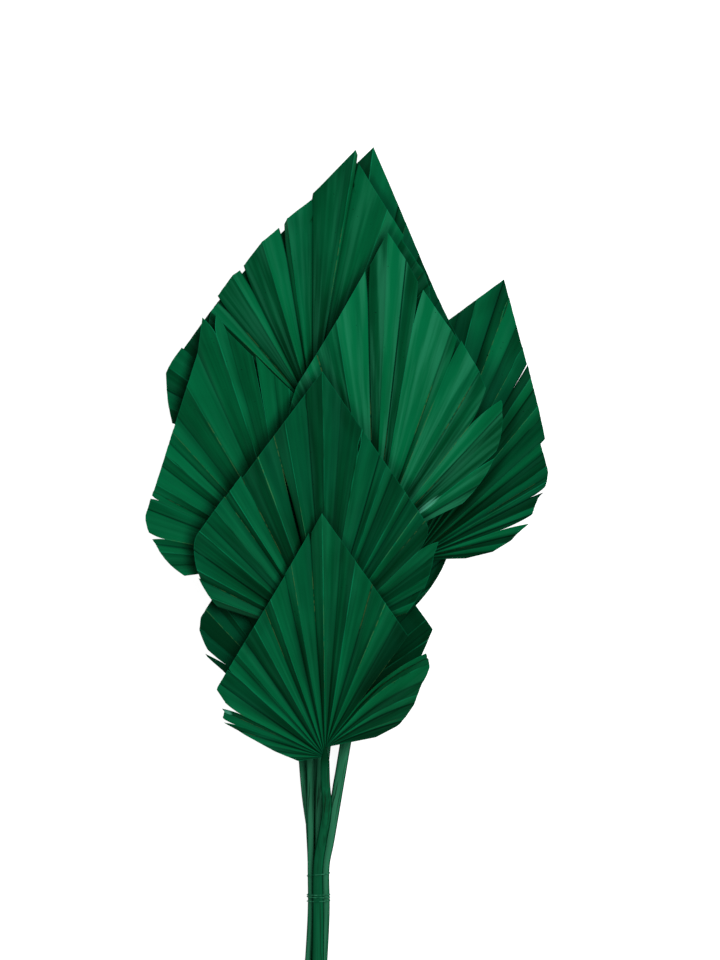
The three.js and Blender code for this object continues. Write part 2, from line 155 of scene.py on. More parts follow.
SPEARS = [
    Spear("spear_back", 9, (9.4, 129, 2.8), 160, 3, 0,
          Side(34, 40, 56, 50, -1.2), Side(34, 40, 55, 47, -1.2),
          Stalk((1.9, 1.8), (-4.3, 1.9), (0, 3.9), ((2, 50, 3.6),)),
          tone=-0.3),
    Spear("spear_right", 8, (51.7, 184, 10.6), 163.3, 18.2, 0,
          Side(35.5, 40, 52, 66, light_strips=((0, 14, -0.7),)),
          Side(31.5, 39, 70, 30, 10, Tear(53, 0.74, 3, 4),
               (Tear(12.4, 0.87, 0.28), Tear(24, 0.9, 0, overlap=0.8),
                Tear(29.5, 0.9, 0, overlap=0.5, beyond=0.965), Tear(44, 0.9, 1.2)),
               bulge=2.4, lobe=((43.5, 84), (44.9, 78), (52.2, 69.8), (60.5, 56.4), (66, 45)),
               light_strips=((24, 44, -0.5),)),
          Stalk((1.9, 1.8), (0, 1.9), (4.05, 3.9), ((7.4, 42, 4.6), (13.2, 75, 5.8))),
          tone=-0.1, crease=2.8, contrast=1.6, fold_spacing=3.4, axis_valley=True),
    Spear("spear_top_behind", 7, (3.9, 231.5, 14.6), 182, 8.4, 2.5,
          Side(36.3, 45, 80, 88, bulge=3.6, lobe=((62.3, 103.8), (66, 102.8), (70.8, 97.4), (74.4, 93.7))),
          Side(33.1, 44, 62, 71, bulge=-2.6),
          Stalk((1.9, 1.8), (-8.6, 1.9), (-4.05, 3.9), ((-5.6, 55, 5), (-4, 120, 7.8))),
          tone=-0.14, crease=1.3),
    Spear("spear_top", 6, (-3.3, 267, 22.2), 143, 9.5, 3.2,
          Side(33.7, 54, 70, 60, slits=(
              Tear(3.2, 0.93, 0, overlap=0.6), Tear(9.4, 0.9, 0.2, overlap=0.5, beyond=0.975, swell=0.01),
              Tear(18.9, 0.8, 1.8, beyond=0.985, swell=0.02), Tear(35.9, 0.8, 2, beyond=0.985, swell=0.02),
              Tear(50, 0.85, 1.6, beyond=0.96)), bulge=2.4),
          Side(41, 27, 55, 60, slits=(Tear(0.9, 0.9, 0.5, beyond=0.97),), light_strips=((0, 30, 0.9),)),
          Stalk((1.9, 1.8), (-2.3, 5.45), (2.03, 7.4),
                ((-1.4, 38, 8.6), (-1.2, 60, 9.8), (-1, 160, 14.6)), 0.1),
          milk=0.3, crease=0.8, fold_spacing=6.2),
    Spear("spear_left", 5, (-14.3, 182, 22.7), 143.5, -18.3, 3.5,
          Side(36, 53.5, 78, 59, 6, slits=(
              Tear(31, 0.85, 0, overlap=0.6), Tear(46.3, 0.95, 1.3), Tear(60.5, 0.9, 2.4, beyond=0.97))),
          Side(28.6, 19, 48, 41, 0, Tear(0, 0.92, 3.4), (Tear(8, 0.62, 0.8),)),
          Stalk((1.9, 1.8), (-6.5, 5.45), (-2.03, 7.4), ((-7.6, 58, 10.6), (-10.5, 110, 15.2)), 0.06),
          tone=0.07, crease=0.9, contrast=0.55),
    Spear("spear_upper_right", 4, (30.8, 191, 26.8), 176, 2.5, 3.8,
          Side(28.6, 28, 55, 55, slits=(Tear(3.8, 0.87, 0.8, beyond=0.985),), rounding=1),
          Side(35.8, 35.4, 61, 55, 12, Tear(35.4, 0.77, 5.6, 5),
               (Tear(7.6, 0.85, 1.4, beyond=0.975), Tear(19.8, 0.87, 1.2),
                Tear(50, 0.82, 1.6, beyond=0.96)),
               bulge=0.6, rounding=1.6),
          Stalk((1.95, 2.3), (0, 9.1), (4.3, 11),
                ((6.3, 27, 12), (8.8, 45, 13.8), (13.3, 72, 16), (22, 125, 20)), 0.42, grey=0.85),
          roll=-1.5, tone=0.12, milk=0.65, crease=1.1, fold_spacing=6.2, pale_patch=(49.5, 37, 3.6, 9)),
    Spear("spear_low_behind", 3, (-4.4, 96.3, 24.4), 147.5, -0.6, 5,
          Side(33, 46.6, 66, 45, slits=(Tear(56.2, 0.8, 2.2),),
               lobe=((51.1, 77), (55.1, 70), (57.4, 65), (60, 53))),
          Side(35, 54.4, 78, 44, rounding=0.85),
          Stalk((1.9, 1.8), (-9.2, 9), (-4.05, 10.9), ((-4.2, 52, 15.4),), 0.14),
          tone=-0.66, milk=0.02),
    Spear("spear_middle", 2, (3.9, 140, 37.2), 149.5, -0.6, 3.4,
          Side(37.5, 50, 72, 61, 3,
               slits=(Tear(13.4, 0.3, 1.2, end=0.84), Tear(26.4, 0.78, 0, overlap=0.9, beyond=1.015)),
               light_strips=((26.4, 33, 1.4), (16, 26.4, -1))),
          Side(34, 44, 72, 48, 3, Tear(47, 0.86, 5), (Tear(10.6, 0.88, 0.7, end=0.97),), rounding=1.1),
          Stalk((1.9, 1.8), (-4.4, 9), (0, 10.9), ((1, 60, 17.8),), 0.24, (46, 71)),
          tone=-0.23, contrast=0.65),
    Spear("spear_front", 1, (3.9, 76, 36.5), 133.5, -0.7, 6.5,
          Side(32, 58, 98, 15, 12, slits=(
              Tear(3.1, 0.95, 0.6), Tear(47, 0.95, 0.8), Tear(62.3, 0.82, 3.4), Tear(69.5, 0.88, 1.6)),
              lobe=((62, 63), (64.6, 61), (69, 60.4), (70.2, 57), (73.9, 45.6), (83, 27.7))),
          Side(34.5, 36, 69, 30, 12, Tear(35, 0.36, 0, 16, flare=1.35, swing=9.7, paler=3.5), higher_root=5,
               lobe=((42, 76.4), (44.8, 72), (47, 67), (56.3, 57), (61.9, 49.6), (66.2, 43.8))),
          Stalk((3.8, 2.3), (-0.5, 15), (0, 16.2), ((4.8, 46, 26.5),), 0.06, grey=0.1),
          tone=-0.1, crease=1.2, contrast=0.6, pale_patch=(-64, 59, 2, 3)),
]


DRAW_FACTOR = 1664525
DRAW_STEP = 1013904223
DRAW_RANGE = 2**32
SEED_STEP = 7919


def repeatable_draws(seed):
    """Draws between 0 and 1 that come out the same in each run."""
    state = seed * SEED_STEP

    def draw():
        nonlocal state
        state = (state * DRAW_FACTOR + DRAW_STEP) % DRAW_RANGE
        return state / DRAW_RANGE

    return draw


def smooth(value):
    """Eases from 0 to 1 as the value goes from 0 to 1."""
    held = np.clip(value, 0, 1)
    return held * held * (3 - 2 * held)


# The blades: a fan-palm leaf grows as a fan of narrow strips, joined at folds that are ridge and valley in
# turn. Drying and trimming tear some of the folds open. First, where the folds run and which are torn.
STRIP_WIDTHS = (0.45, 1.55)
FOLD_SWAY = 0.35
FOLD_SHARPNESS = (0.25, 1.1)
TEAR_CHANCE = 0.25
TEAR_START = 0.9
TEAR_OVERLAP = (0.3, 0.9)
STRIP_LENGTHS = (0.985, 1.015)


class Fold:
    """A fold of a blade: a ridge where rise is 1 and a valley where it is -1."""

    def __init__(self, angle, rise, tear):
        self.angle = angle
        self.rise = rise
        self.tear = tear
        self.slit = None

    def torn(self, share):
        """Whether the fold is torn through at a share of its length."""
        if self.tear is None:
            return np.zeros_like(share, bool)
        closes = math.inf if self.tear.end is None else self.tear.end
        return (share > self.tear.start) & (share < closes)

    def opening(self, share):
        """How far a strip beside the fold stands off it at a share of its length."""
        return 0 if self.tear is None else self.tear.opening(share)


def between(ends, share):
    return ends[0] + (ends[1] - ends[0]) * share


def side_folds(side, spacing, draw):
    """The folds of one side from the axis outwards, ridge and valley in turn."""
    count = round(side.end / spacing)
    widths = np.array([between(STRIP_WIDTHS, draw()) for _ in range(count)])
    angles = np.concatenate([[0], np.cumsum(widths)]) * side.end / widths.sum()
    folds = []
    for i, angle in enumerate(angles):
        fold = Fold(angle, 1 if i % 2 == 0 else -1, None)
        torn = draw() < TEAR_CHANCE
        overlap = between(TEAR_OVERLAP, draw())
        if torn and 0 < i < count and fold.rise < 0:
            fold.tear = Tear(angle, TEAR_START, 0, overlap=overlap)
        folds.append(fold)
    if side.split:
        nearest = min(folds, key=lambda fold: abs(fold.angle - side.split.angle))
        nearest.angle = side.split.angle
        nearest.tear = side.split
    for slit in side.slits:
        nearest = min(folds[1:-1], key=lambda fold: abs(fold.angle - slit.angle))
        nearest.angle = slit.angle
        nearest.slit = slit
    return folds


def blade_folds(spear):
    """All folds of a blade from left to right, with the lengths of the strips on either side."""
    draw = repeatable_draws(spear.seed)
    left = side_folds(spear.left, spear.fold_spacing, draw)
    right = side_folds(spear.right, spear.fold_spacing, draw)
    for fold in left:
        fold.angle = -fold.angle
    folds = left[:0:-1] + right
    for fold in folds:
        fold.rise = -fold.rise if spear.axis_valley else fold.rise
    strip_length = between(STRIP_LENGTHS, draw())
    for k, fold in enumerate(folds):
        before = folds[max(k - 1, 0)]
        after = folds[min(k + 1, len(folds) - 1)]
        fold.spacing = (after.angle - before.angle) / 2
        fold.sway = (draw() * 2 - 1) * FOLD_SWAY
        fold.wave = draw()
        fold.sharpness = between(FOLD_SHARPNESS, draw())
        if spear.axis_valley and fold.angle == 0:
            fold.sharpness = FOLD_SHARPNESS[1]
        if fold.tear:
            strip_length = between(STRIP_LENGTHS, draw())
        fold.strip_length = strip_length
        fold.tear = fold.slit or fold.tear
    for fold, next_fold in zip(folds, folds[1:]):
        middle = (fold.angle + next_fold.angle) / 2
        fold.length_after = fold.strip_length * kept_length(spear, middle, fold.angle)
        next_fold.length_before = fold.strip_length * kept_length(spear, middle, next_fold.angle)
    folds[0].length_before = folds[0].length_after
    folds[-1].length_after = folds[-1].length_before
    return folds


def kept_length(spear, middle, angle):
    """The share of its length that the last slit before it, outwards, leaves a strip at an angle in it."""
    side = spear.left if middle < 0 else spear.right
    crossed = [slit for slit in side.slits if slit.angle < abs(middle)]
    if not crossed:
        return 1
    slit = max(crossed, key=lambda slit: slit.angle)
    next_angle = min([other.angle for other in side.slits if other.angle > slit.angle], default=side.end)
    regained = (abs(angle) - slit.angle) / (next_angle - slit.angle)
    return slit.beyond + (1 - slit.beyond) * regained + slit.swell * math.sin(math.pi * regained)


def straight_cut(angle, first, second):
    """Length from the root to the straight line between two corners, each an angle and a length."""
    from_first = np.sin(np.radians(angle - first[0])) * first[1]
    to_second = np.sin(np.radians(second[0] - angle)) * second[1]
    return first[1] * second[1] * math.sin(math.radians(second[0] - first[0])) / (from_first + to_second)


def outline_length(side, length, angle):
    """Length of the blade from its root to its outline: a straight trimmed edge, then the lobe."""
    def trimmed(turn):
        return length * np.sin(np.radians(side.cut)) / np.sin(np.radians(side.cut + turn))

    angle = np.minimum(angle, side.end)
    past_corner = np.clip((angle - side.corner) / (side.end - side.corner), 0, 1)
    corner_length = trimmed(side.corner)
    lobe = corner_length + (side.end_length - corner_length) * past_corner**side.rounding
    corners = [(side.corner, corner_length), *side.lobe, (side.end, side.end_length)]
    for first, second in zip(corners, corners[1:]) if side.lobe else ():
        held = np.clip(angle, first[0], second[0])
        lobe = np.where((angle >= first[0]) & (angle <= second[0]), straight_cut(held, first, second), lobe)
    before_corner = np.minimum(angle, side.corner)
    swollen = side.bulge * np.sin(np.pi * before_corner / side.corner)
    return np.where(angle <= side.corner, trimmed(before_corner) + swollen, lobe)


# The blades as folded sheets, thin, dry and stiff. Every strip between two folds is a grid of rings from
# the root outwards and of columns, which closes on its neighbour as far as the fold isn't torn.
SHEET_THICKNESS = 0.4
ROOT_RADIUS = 1.2
PLEAT_SLOPE_ROOT = 0.85
PLEAT_SLOPE_EDGE = 0.2
PLEAT_FADE = 1.7
STRIP_FULLNESS = 0.95
LIFT_START = 0.45
HIGHER_ROOT_SPREAD = 25
TURN_UP_EASE = 9
TUCKED_WIDTH = 9
TUCKED_SHADE = 1.9
TUCKED_GROWTH = 4
JOIN_POWER = 8
PAINTED_SHADOW_REACH = 0.65
LEAST_DROP = 3
RIB_HEIGHT = 0.16
RIB_GROWTH = 20
WAVE_HEIGHT = 0.6
WAVE_LENGTH = 75
FIBRE_RELIEF = 0.1
FIBRE_GROWTH = 40
UNEVEN_CUT = 0.2
TORN_STRIP_LIFT = (-0.3, 0.7)
BROWN_LINE_CHANCE = 0.45
BROWN_LINE_RUN = (0.25, 0.6)
BROWN_LINE_FADE = 0.06
STRIP_SEED = 40
RINGS = np.linspace(0, 1, 53)[:, None]
COLUMNS = np.array([0, 0.04, 0.13, 0.3, 0.5, 0.7, 0.87, 0.96, 1])[None, :]
INNER_COLUMNS = (COLUMNS > 0) & (COLUMNS < 1)


def painted_shadow_from_others(spear, places):
    """How much painted shadow the spears that lie over this one put on its points, from 0 in the open to 1.
    """
    painted_shadow = np.zeros(places.shape[:2])
    for other in SPEARS[SPEARS.index(spear) + 1:]:
        x, y, z = np.moveaxis(places - np.array(other.base), -1, 0)
        away = np.hypot(x, y)
        turn = np.degrees(np.arctan2(x, y)) - other.lean
        drop = np.maximum(away * math.tan(math.radians(other.tilt)) - z, LEAST_DROP)
        for side, on_side in ((other.left, turn < 0), (other.right, turn >= 0)):
            past_end = np.radians(np.clip(np.abs(turn) - side.end, 0, 90))
            outside = away - outline_length(side, other.length, np.abs(turn))
            past_tip = np.maximum(away * np.cos(past_end) - side.end_length, 0)
            outside = np.where(past_end > 0, np.hypot(away * np.sin(past_end), past_tip), outside)
            near = smooth(1 - outside / (drop * PAINTED_SHADOW_REACH)) * on_side
            painted_shadow = np.maximum(painted_shadow, near)
    return painted_shadow


def brown_line(fold, rings):
    """Strength of the bare brown fibre along a fold: none, or a stretch of its length."""
    start, end = fold.brown_stretch
    return smooth((rings - start) / BROWN_LINE_FADE) * smooth((end - rings) / BROWN_LINE_FADE)


def strip_grid(spear, left, right, strip_lift, draw):
    """Places and marks of one strip's points, ring by ring from the root and column by column."""
    side = spear.left if left.angle + right.angle < 0 else spear.right
    nominal = left.angle * (1 - COLUMNS) + right.angle * COLUMNS
    swung = np.sin(np.pi * RINGS) * (left.sway * (1 - COLUMNS) + right.sway * COLUMNS)
    angle = nominal + swung + left.opening(RINGS) * (1 - COLUMNS) - right.opening(RINGS) * COLUMNS
    split = side.split
    past_split = split is not None and min(abs(left.angle), abs(right.angle)) >= split.angle
    if past_split:
        drawn_along = (side.end - np.abs(nominal)) / (side.end - split.angle)
        angle = angle + np.sign(nominal) * split.swing * split.run(RINGS) ** split.flare * drawn_along

    own = left.length_after * (1 - COLUMNS) + right.length_before * COLUMNS
    short_left = max(left.length_before - left.length_after, 0)
    short_right = max(right.length_after - right.length_before, 0)
    joined_left = short_left * ~left.torn(RINGS) * (1 - COLUMNS) ** JOIN_POWER
    joined_right = short_right * ~right.torn(RINGS) * COLUMNS**JOIN_POWER
    uneven = UNEVEN_CUT * np.array([draw() for _ in COLUMNS[0]]) * INNER_COLUMNS
    outline = outline_length(side, spear.length, np.abs(nominal))
    reach = outline * (own + joined_left + joined_right) - uneven
    radius = ROOT_RADIUS + (reach - ROOT_RADIUS) * RINGS

    slope = PLEAT_SLOPE_EDGE + (PLEAT_SLOPE_ROOT - PLEAT_SLOPE_EDGE) * (1 - RINGS) ** PLEAT_FADE
    spacing = np.radians(left.spacing * (1 - COLUMNS) + right.spacing * COLUMNS)
    up_the_strip = COLUMNS if right.rise > 0 else 1 - COLUMNS
    pleat = 0.5 * slope * radius * spacing * (2 * up_the_strip**STRIP_FULLNESS - 1)
    lifted = smooth((np.abs(angle) / side.end - LIFT_START) / (1 - LIFT_START))
    height = pleat + radius * math.tan(math.radians(side.lift)) * lifted
    if past_split:
        past_hinge = np.maximum(radius - split.start * outline, 0)
        turned_up = past_hinge**2 / (past_hinge + TURN_UP_EASE)
        height = height + turned_up * math.tan(math.radians(split.turned_up))
    for fold, beside in ((left, 1 - COLUMNS), (right, COLUMNS)):
        wave = np.sin(2 * np.pi * (radius / WAVE_LENGTH + fold.wave)) - math.sin(2 * np.pi * fold.wave)
        height = height + WAVE_HEIGHT * wave * beside * smooth(radius / WAVE_LENGTH)
    relief = FIBRE_RELIEF * (np.array([draw() for _ in COLUMNS[0]]) - 0.5) * INNER_COLUMNS
    height = height + relief * np.minimum(radius / FIBRE_GROWTH, 1)
    height = height + RIB_HEIGHT * (up_the_strip == 1) * np.minimum(radius / RIB_GROWTH, 1)
    height = height + strip_lift * smooth((RINGS - TEAR_START) / (1 - TEAR_START))

    along = radius * np.cos(np.radians(angle))
    along = along + side.higher_root * (1 - RINGS) * smooth(np.abs(nominal) / HIGHER_ROOT_SPREAD)
    across = radius * np.sin(np.radians(angle))
    lean = math.radians(spear.lean)
    base_x, base_y, base_z = spear.base
    rise = along * math.tan(math.radians(spear.tilt)) + across * math.tan(math.radians(spear.roll))
    places = np.stack([
        base_x + along * math.sin(lean) + across * math.cos(lean),
        base_y + along * math.cos(lean) - across * math.sin(lean),
        base_z + rise + height,
    ], axis=-1)
    width = radius * np.radians(right.angle - left.angle)
    # Painted shadow: darker where the spears above lie over this strip or come close to it.
    painted_shadow = painted_shadow_from_others(spear, places)
    # Painted shade on the strips beside a tear whose lobe is drawn away, under the lobe's raised free edge.
    if split and split.swing and not past_split:
        inside = (split.angle - np.abs(angle)) / TUCKED_WIDTH
        tucked = smooth(1 - inside) * smooth(split.run(RINGS) * TUCKED_GROWTH)
        painted_shadow = np.maximum(painted_shadow, TUCKED_SHADE * tucked)
    marks = {
        "bearing": angle,
        "from_root": radius,
        "from_ridge": width * (1 - up_the_strip),
        "from_valley": width * up_the_strip,
        "up_the_strip": up_the_strip,
        "sharpness": left.sharpness * (1 - COLUMNS) + right.sharpness * COLUMNS,
        "painted_shadow": painted_shadow,
        "from_edge": reach - radius,
        "brown_line": brown_line(left, RINGS) * (COLUMNS == 0) + brown_line(right, RINGS) * (COLUMNS == 1),
    }
    return places, {name: np.broadcast_to(mark, radius.shape) for name, mark in marks.items()}


def own_tone(spear, angle):
    """How much lighter the strip at an angle is than its spear's other strips."""
    side = spear.left if angle < 0 else spear.right
    turn = abs(angle)
    tone = sum(light for low, high, light in side.light_strips if low <= turn < high)
    # Painted light on a lobe that turns up: lightest next to its tear, fading away from it.
    if side.split and turn > side.split.angle:
        tone += side.split.paler * (side.end - turn) / (side.end - side.split.angle)
    return tone


def grid_faces(index):
    """Four-sided faces over a grid of point numbers."""
    corners = (index[:-1, :-1], index[:-1, 1:], index[1:, 1:], index[1:, :-1])
    return np.stack([corner.ravel() for corner in corners], axis=-1)


def edge_keys(edges, count):
    """One number for each edge, whichever way round its two ends stand."""
    return edges.min(axis=1) * count + edges.max(axis=1)


def blade_sheet(spear):
    """Points, faces, marks and sharp edges of one blade, front and back."""
    folds = blade_folds(spear)
    draw = repeatable_draws(spear.seed + STRIP_SEED)
    for fold in folds:
        start = draw() * (1 - BROWN_LINE_RUN[0])
        fold.brown_stretch = (math.inf, math.inf)
        if draw() < BROWN_LINE_CHANCE:
            fold.brown_stretch = (start, start + between(BROWN_LINE_RUN, draw()))
    places, marks, faces, tones, painted_lit_sides, sharp = [], {}, [], [], [], []
    count = 0
    before = None
    strip_lift = 0
    for left, right in zip(folds, folds[1:]):
        if left.tear:
            strip_lift = between(TORN_STRIP_LIFT, draw())
        strip, strip_marks = strip_grid(spear, left, right, strip_lift, draw)
        index = np.full(strip.shape[:2], -1)
        if before is not None:
            joined = ~left.torn(RINGS[:, 0])
            index[joined, 0] = before[joined, -1]
        fresh = index < 0
        index[fresh] = count + np.arange(fresh.sum())
        count += fresh.sum()
        places.append(strip[fresh])
        for name, mark in strip_marks.items():
            marks.setdefault(name, []).append(mark[fresh])
        strip_faces = grid_faces(index)
        faces.append(strip_faces)
        tone = draw() * 2 - 1 + own_tone(spear, (left.angle + right.angle) / 2)
        tones.append(np.full(len(strip_faces), tone))
        # Which side of a ridge the strip lies on, for the painted light and shade on the two sides.
        painted_lit_sides.append(np.full(len(strip_faces), left.rise))
        for fold_points in (index[:, 0], index[:, -1]):
            sharp.append(np.stack([fold_points[:-1], fold_points[1:]], axis=-1))
        before = index
    places = np.concatenate(places)
    faces = np.concatenate(faces)
    edges = np.concatenate([faces[:, [a, (a + 1) % 4]] for a in range(4)])
    keys = edge_keys(edges, count)
    _, first, uses = np.unique(keys, return_index=True, return_counts=True)
    border = edges[first[uses == 1]]
    rim = np.stack([border[:, 1], border[:, 0], border[:, 0] + count, border[:, 1] + count], axis=-1)
    sharp = np.concatenate(sharp + [border])
    half = np.array([0, 0, SHEET_THICKNESS / 2])
    no_rim = np.zeros(len(rim))
    tone, painted_lit_side = np.concatenate(tones), np.concatenate(painted_lit_sides)
    return {
        "points": np.concatenate([places + half, places - half]),
        "faces": np.concatenate([faces, faces[:, ::-1] + count, rim]),
        "marks": {name: np.tile(np.concatenate(mark), 2) for name, mark in marks.items()},
        "face_marks": {
            "strip_tone": np.concatenate([tone, tone, no_rim]),
            "painted_lit_side": np.concatenate([painted_lit_side, -painted_lit_side, no_rim]),
        },
        "sharp": np.concatenate([sharp, sharp + count]),
    }


# The stalks: each blade's own woody stem, slim and nearly round, a little flat in front. It runs up into
# the blade as a tapering tongue, is bound with the others at the tie, and is cut off below.
STALK_CUT_Y = -89
BOUND_FROM_Y = -12
BOUND_TO_Y = 15
STALK_STRAIGHT_RUN = 14
SWELL_RUN = 35
STALK_INTO_BLADE = 6
STALK_TAPER_RUN = 9
STALK_TIP_SHARE = 0.22
STALK_FLATTENING = 0.88
STALK_SIDES = 18
STALK_STEPS = 26
STALK_RIDGES = 7
STALK_RIDGE_DEPTH = 0.015
CUT_BEVEL = 0.25
CUT_DISH = 0.03
CRACK_BEARINGS = (-25, 35)
CRACK_WIDTH = 34
CRACK_FADE = 4


def smooth_line(points, steps):
    """Points along a smooth curve through the given ones, at even steps between each two of them."""
    points = np.array(points, float)
    ends = np.concatenate([[2 * points[0] - points[1]], points, [2 * points[-1] - points[-2]]])
    line = []
    for p0, p1, p2, p3 in zip(ends, ends[1:], ends[2:], ends[3:]):
        d0, d1, d2 = (np.linalg.norm(b - a) ** 0.5 for a, b in ((p0, p1), (p1, p2), (p2, p3)))
        leaving = ((p1 - p0) / d0 - (p2 - p0) / (d0 + d1) + (p2 - p1) / d1) * d1
        arriving = ((p2 - p1) / d1 - (p3 - p1) / (d1 + d2) + (p3 - p2) / d2) * d1
        for t in np.arange(steps) / steps:
            line.append(p1 + leaving * t + (3 * (p2 - p1) - 2 * leaving - arriving) * t**2
                        + (2 * (p1 - p2) + leaving + arriving) * t**3)
    return np.array(line + [points[-1]])


def tube_frames(along, upwards):
    """For each direction along a line, the directions to its side and up from it, square to the line."""
    side = np.cross(along, upwards)
    side /= np.linalg.norm(side, axis=1)[:, None]
    up = np.cross(side, along)
    up /= np.linalg.norm(up, axis=1)[:, None]
    return side, up


def stalk_radius(spear, y):
    grown = 1 + spear.stalk.swell * smooth((y - BOUND_TO_Y) / SWELL_RUN)
    return grown * between(spear.stalk.radii, (y - STALK_CUT_Y) / (spear.base[1] - STALK_CUT_Y))


def stalk_tube(spear):
    """Points, faces and marks of one stalk, with its cut end as the last faces."""
    stalk = spear.stalk
    lean = math.radians(spear.lean)
    axis = np.array([math.sin(lean), math.cos(lean), math.tan(math.radians(spear.tilt))])
    base = np.array(spear.base)
    line = smooth_line([
        (stalk.cut_end[0], STALK_CUT_Y, stalk.cut_end[1]),
        (stalk.tie[0], BOUND_FROM_Y, stalk.tie[1]),
        (stalk.tie[0], BOUND_TO_Y, stalk.tie[1]),
        *stalk.via,
        base - axis * STALK_STRAIGHT_RUN,
        base + axis * STALK_INTO_BLADE,
    ], STALK_STEPS)
    side, up = tube_frames(np.gradient(line, axis=0), np.array([0, 0, 1]))
    from_tip = np.concatenate([np.cumsum(np.linalg.norm(np.diff(line, axis=0), axis=1)[::-1])[::-1], [0]])
    taper = STALK_TIP_SHARE + (1 - STALK_TIP_SHARE) * smooth(from_tip / STALK_TAPER_RUN)
    turn = 2 * np.pi * np.arange(STALK_SIDES) / STALK_SIDES
    ridged = 1 + STALK_RIDGE_DEPTH * np.cos(STALK_RIDGES * turn + spear.seed)
    radius = (stalk_radius(spear, line[:, 1]) * taper)[:, None] * ridged[None, :]
    rise = np.where(np.cos(turn) > 0, STALK_FLATTENING, 1) * np.cos(turn)
    rings = (line[:, None, :] + side[:, None, :] * (radius * np.sin(turn))[..., None]
             + up[:, None, :] * (radius * rise)[..., None])
    cut = rings[0] + (line[0] - rings[0]) * CUT_BEVEL + (line[1] - line[0]) * CUT_DISH
    points = np.concatenate([cut, rings.reshape(-1, 3), line[:1], line[-1:]])
    grid = np.arange(STALK_SIDES * (len(line) + 1)).reshape(len(line) + 1, STALK_SIDES)
    grid = np.concatenate([grid, grid[:, :1]], axis=1)
    near, far = len(points) - 2, len(points) - 1
    next_side = np.roll(grid[0, :-1], -1)
    cut_faces = [(near, b, a) for a, b in zip(grid[0, :-1], next_side)]
    tip_faces = [(far, a, b) for a, b in zip(grid[-1, :-1], grid[-1, 1:])]
    along = np.concatenate([[0], from_tip[0] - from_tip])
    crack = np.zeros((len(line), STALK_SIDES))
    if stalk.cracked:
        foot, top = stalk.cracked
        run = np.clip((line[:, 1:2] - foot) / (top - foot), 0, 1)
        from_crack = (np.degrees(turn) + 180) % 360 - 180 - between(CRACK_BEARINGS, run)
        crack = smooth(1 - np.abs(from_crack) / CRACK_WIDTH)
        crack = crack * smooth(run * CRACK_FADE) * smooth((1 - run) * CRACK_FADE)
    marks = {
        "on_top": np.concatenate([np.tile(np.cos(turn), len(line) + 1), [0, 0]]),
        "to_side": np.concatenate([np.tile(np.sin(turn), len(line) + 1), [0, 0]]),
        "from_root": np.concatenate([np.repeat(along, STALK_SIDES), [0, along[-1]]]),
        "from_edge": np.concatenate([np.repeat(along[-1] - along, STALK_SIDES), [along[-1], 0]]),
        "cracked": np.concatenate([np.zeros(STALK_SIDES), crack.ravel(), [0, 0]]),
        "grey": np.full(len(points), stalk.grey),
    }
    return {
        "points": points,
        "faces": [tuple(face) for face in grid_faces(grid)] + tip_faces,
        "cut_faces": cut_faces,
        "marks": marks,
    }


# The finishes: the spears were soaked in green dye, which took unevenly along the fibres and wore off
# on ridges, edges and stalks. Painted shade darkens the valleys, the blades near their roots, the parts
# that lie under other spears and the sides of the stalks; painted light brightens one side of each ridge,
# the ridges besides their wear, the tops of the stalks and a lobe that turns up; part of the milky
# streaks is a painted sheen. The cut ends of the stalks stay pale.
class Shade:
    """One socket of a finish. Sums, differences and products of shades add their Math nodes."""

    def __init__(self, finish, socket):
        self.finish = finish
        self.socket = socket

    def math(self, operation, first, second):
        return self.finish.node("ShaderNodeMath", {"operation": operation}, {0: first, 1: second})

    def __add__(self, other):
        return self.math("ADD", self, other)

    def __radd__(self, other):
        return self.math("ADD", other, self)

    def __sub__(self, other):
        return self.math("SUBTRACT", self, other)

    def __rsub__(self, other):
        return self.math("SUBTRACT", other, self)

    def __mul__(self, other):
        return self.math("MULTIPLY", self, other)

    def __rmul__(self, other):
        return self.math("MULTIPLY", other, self)


class Finish:
    """A material in the making. node() adds one node, sets it up, feeds its sockets and gives an output."""

    def __init__(self, name):
        self.material = bpy.data.materials.new(name)
        self.material.use_nodes = True
        self.tree = self.material.node_tree

    def node(self, kind, settings, inputs, output=0):
        node = self.tree.nodes.new(kind)
        for name, value in settings.items():
            setattr(node, name, value)
        self.feed(node, inputs)
        return Shade(self, self.find(node.outputs, output))

    def feed(self, node, inputs):
        for key, value in inputs.items():
            socket = self.find(node.inputs, key)
            if isinstance(value, Shade):
                self.tree.links.new(value.socket, socket)
            else:
                socket.default_value = value

    def find(self, sockets, key):
        if isinstance(key, int):
            return sockets[key]
        return next(socket for socket in sockets if socket.identifier == key)

    def mark(self, name):
        """A mark that the mesh carries, such as the distance from a fold."""
        return self.node("ShaderNodeAttribute", {"attribute_name": name}, {}, "Fac")

    def noise(self, x, y, z, detail=2, roughness=0.5):
        place = self.node("ShaderNodeCombineXYZ", {}, {"X": x, "Y": y, "Z": z})
        sizes = {"Vector": place, "Scale": 1, "Detail": detail, "Roughness": roughness}
        return self.node("ShaderNodeTexNoise", {}, sizes, "Fac")

    def step(self, value, low, high):
        """Eases from 0 to 1 while the value goes from low to high, or the other way round."""
        if low > high:
            return 1 - self.step(value, high, low)
        limits = {"Value": value, "From Min": low, "From Max": high}
        return self.node("ShaderNodeMapRange", {"interpolation_type": "SMOOTHSTEP"}, limits)

    def mix(self, amount, first, second):
        parts = {"Factor_Float": amount, "A_Color": first, "B_Color": second}
        return self.node("ShaderNodeMix", {"data_type": "RGBA"}, parts, "Result_Color")

    def surface(self, **inputs):
        named = {name.replace("_", " "): value for name, value in inputs.items()}
        named["Specular IOR Level"] = named.pop("Specular")
        self.feed(self.tree.nodes["Principled BSDF"], named)
        return self.material


